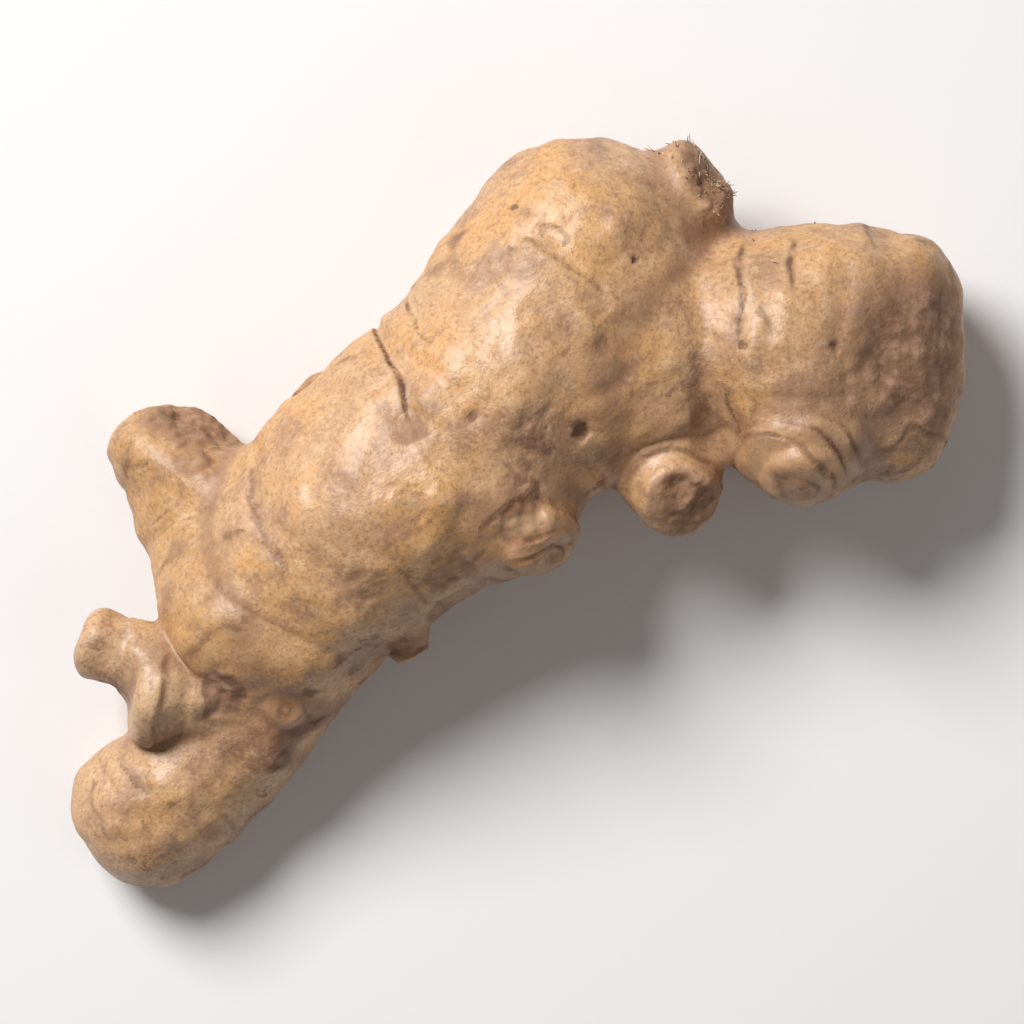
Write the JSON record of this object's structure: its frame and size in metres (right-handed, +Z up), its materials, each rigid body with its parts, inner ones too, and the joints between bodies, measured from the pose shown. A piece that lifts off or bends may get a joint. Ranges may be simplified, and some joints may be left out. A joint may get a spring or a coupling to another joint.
{
  "type": "ginger root",
  "caption": "Mature ginger root lying on its side: a knobbly tan body with a blunt side lobe, a finger, an arm and small nubs and buds, all grown as one piece.",
  "frame": {"origin": "on the surface that the root lies on, below the middle of its bounding box", "axes": "+Z up off the surface; +X along the root's longest extent, from the lower finger and arm to the blunt fore lobe; +Y towards the body's rounded head"},
  "size_m": [0.0887, 0.0753, 0.0274],
  "materials": {
    "ginger_skin": "dry tan skin with a soft satin sheen, fine lengthwise grain, dark growth rings and grey-brown scars"
  },
  "bodies": {
    "root": {"ginger_root": "ginger_skin"}
  },
  "joints": []
}
